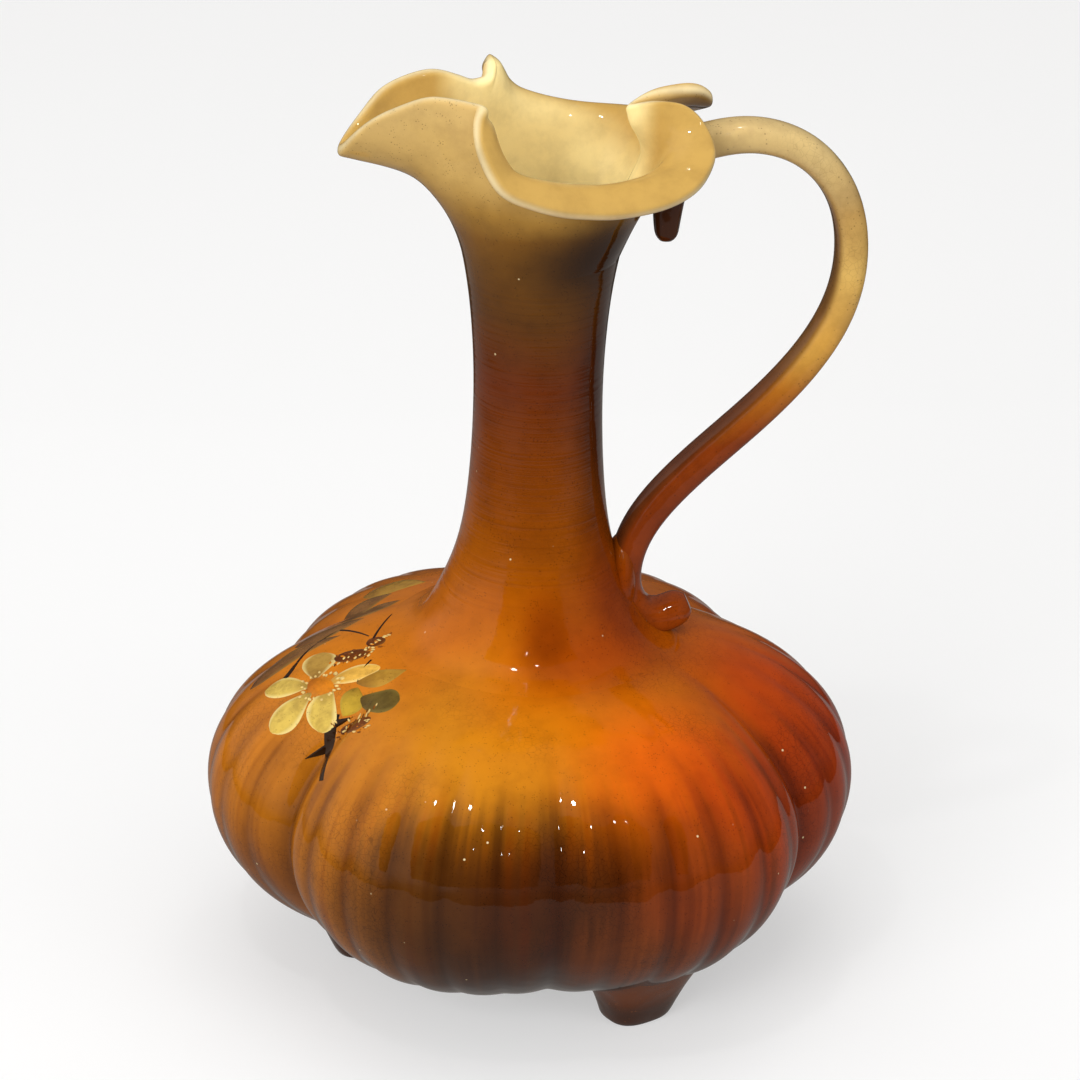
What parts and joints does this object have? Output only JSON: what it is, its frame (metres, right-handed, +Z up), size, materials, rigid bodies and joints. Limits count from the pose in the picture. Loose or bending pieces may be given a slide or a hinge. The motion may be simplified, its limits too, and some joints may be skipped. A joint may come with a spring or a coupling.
{
  "type": "ceramic pitcher",
  "caption": "Tall-necked glazed pitcher with a lobed ribbed body on small feet, a drooping spout between rolled lip petals, and a looping strap handle.",
  "frame": {"origin": "on the body's axis, in the plane the feet stand on", "axes": "+Z up along the neck, +X from the neck towards the handle, so the spout points along -X and +Y is the far side"},
  "size_m": [0.178, 0.1699, 0.2545],
  "materials": {
    "body": "high-gloss amber to red-brown glaze over light earthenware, with a painted slip spray of blossom",
    "neck": "high-gloss brown glaze, olive at the top and orange at the foot",
    "mouth": "high-gloss pale yellow glaze",
    "handle": "high-gloss glaze, cream yellow at the top to rust at the lower end",
    "tail": "high-gloss dark brown glaze",
    "slip": "glazed slip",
    "feet": "glossy dark brown glaze, bare clay underneath"
  },
  "bodies": {
    "root": {"body": "body", "neck": "neck", "mouth": "mouth", "handle": "handle", "handle_tail": "tail", "handle_slip_joint": "slip", "foot_spout": "feet", "foot_near": "feet", "foot_far": "feet"}
  },
  "joints": []
}
